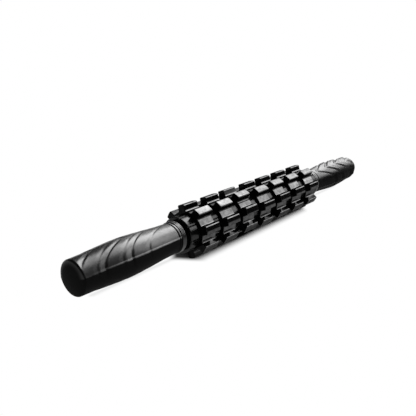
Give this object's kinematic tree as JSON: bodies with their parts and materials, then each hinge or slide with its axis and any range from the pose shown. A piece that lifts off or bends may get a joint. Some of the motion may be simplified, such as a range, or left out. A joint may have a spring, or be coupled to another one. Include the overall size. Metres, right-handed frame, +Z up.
{
  "type": "roller massage stick",
  "caption": "Hand-held massage stick with lugged wheels and grooved spacer rings that turn freely on a straight core between two rubber-covered handles.",
  "frame": {"origin": "on the ground under the middle of the stick, where the lowest wheel lug stands", "axes": "+X along the stick to the far handle, +Z up, -Y towards the viewer"},
  "size_m": [0.4486, 0.0482, 0.0481],
  "materials": {
    "gloss_black": "moulded, glossy",
    "satin_black": "moulded, satin",
    "rubber_black": "moulded soft rubber, satin",
    "nylon_dark": "plain bearing plastic",
    "bright_steel": "drawn and zinc plated",
    "core_grey": "moulded, hidden"
  },
  "bodies": {
    "stick": {"bearing_sleeve": "nylon_dark", "core_tube": "bright_steel", "left_grip_core": "core_grey", "left_lock_washer": "bright_steel", "left_neck_collar": "satin_black", "left_retaining_screw": "bright_steel", "left_rubber_grip": "rubber_black", "left_thrust_washer": "nylon_dark", "left_tube_plug": "core_grey", "right_grip_core": "core_grey", "right_lock_washer": "bright_steel", "right_neck_collar": "satin_black", "right_retaining_screw": "bright_steel", "right_rubber_grip": "rubber_black", "right_thrust_washer": "nylon_dark", "right_tube_plug": "core_grey"},
    "spacer_ring_1": {"spacer_ring_1": "satin_black"},
    "roller_wheel_1": {"roller_wheel_1": "gloss_black"},
    "spacer_ring_2": {"spacer_ring_2": "satin_black"},
    "roller_wheel_2": {"roller_wheel_2": "gloss_black"},
    "spacer_ring_3": {"spacer_ring_3": "satin_black"},
    "roller_wheel_3": {"roller_wheel_3": "gloss_black"},
    "spacer_ring_4": {"spacer_ring_4": "satin_black"},
    "roller_wheel_4": {"roller_wheel_4": "gloss_black"},
    "spacer_ring_5": {"spacer_ring_5": "satin_black"},
    "roller_wheel_5": {"roller_wheel_5": "gloss_black"},
    "spacer_ring_6": {"spacer_ring_6": "satin_black"},
    "roller_wheel_6": {"roller_wheel_6": "gloss_black"},
    "spacer_ring_7": {"spacer_ring_7": "satin_black"},
    "roller_wheel_7": {"roller_wheel_7": "gloss_black"},
    "spacer_ring_8": {"spacer_ring_8": "satin_black"}
  },
  "joints": [
    {"name": "spacer_ring_1_spin", "type": "hinge", "parent": "stick", "child": "spacer_ring_1", "pos_m": [-0.1052, 0, 0.02406], "axis": [1, 0, 0], "continuous": true},
    {"name": "roller_wheel_1_spin", "type": "hinge", "parent": "stick", "child": "roller_wheel_1", "pos_m": [-0.09, 0, 0.02406], "axis": [1, 0, 0], "continuous": true},
    {"name": "spacer_ring_2_spin", "type": "hinge", "parent": "stick", "child": "spacer_ring_2", "pos_m": [-0.075, 0, 0.02406], "axis": [1, 0, 0], "continuous": true},
    {"name": "roller_wheel_2_spin", "type": "hinge", "parent": "stick", "child": "roller_wheel_2", "pos_m": [-0.06, 0, 0.02406], "axis": [1, 0, 0], "continuous": true},
    {"name": "spacer_ring_3_spin", "type": "hinge", "parent": "stick", "child": "spacer_ring_3", "pos_m": [-0.045, 0, 0.02406], "axis": [1, 0, 0], "continuous": true},
    {"name": "roller_wheel_3_spin", "type": "hinge", "parent": "stick", "child": "roller_wheel_3", "pos_m": [-0.03, 0, 0.02406], "axis": [1, 0, 0], "continuous": true},
    {"name": "spacer_ring_4_spin", "type": "hinge", "parent": "stick", "child": "spacer_ring_4", "pos_m": [-0.015, 0, 0.02406], "axis": [1, 0, 0], "continuous": true},
    {"name": "roller_wheel_4_spin", "type": "hinge", "parent": "stick", "child": "roller_wheel_4", "pos_m": [0, 0, 0.02406], "axis": [1, 0, 0], "continuous": true},
    {"name": "spacer_ring_5_spin", "type": "hinge", "parent": "stick", "child": "spacer_ring_5", "pos_m": [0.015, 0, 0.02406], "axis": [1, 0, 0], "continuous": true},
    {"name": "roller_wheel_5_spin", "type": "hinge", "parent": "stick", "child": "roller_wheel_5", "pos_m": [0.03, 0, 0.02406], "axis": [1, 0, 0], "continuous": true},
    {"name": "spacer_ring_6_spin", "type": "hinge", "parent": "stick", "child": "spacer_ring_6", "pos_m": [0.045, 0, 0.02406], "axis": [1, 0, 0], "continuous": true},
    {"name": "roller_wheel_6_spin", "type": "hinge", "parent": "stick", "child": "roller_wheel_6", "pos_m": [0.06, 0, 0.02406], "axis": [1, 0, 0], "continuous": true},
    {"name": "spacer_ring_7_spin", "type": "hinge", "parent": "stick", "child": "spacer_ring_7", "pos_m": [0.075, 0, 0.02406], "axis": [1, 0, 0], "continuous": true},
    {"name": "roller_wheel_7_spin", "type": "hinge", "parent": "stick", "child": "roller_wheel_7", "pos_m": [0.09, 0, 0.02406], "axis": [1, 0, 0], "continuous": true},
    {"name": "spacer_ring_8_spin", "type": "hinge", "parent": "stick", "child": "spacer_ring_8", "pos_m": [0.1052, 0, 0.02406], "axis": [1, 0, 0], "continuous": true}
  ]
}
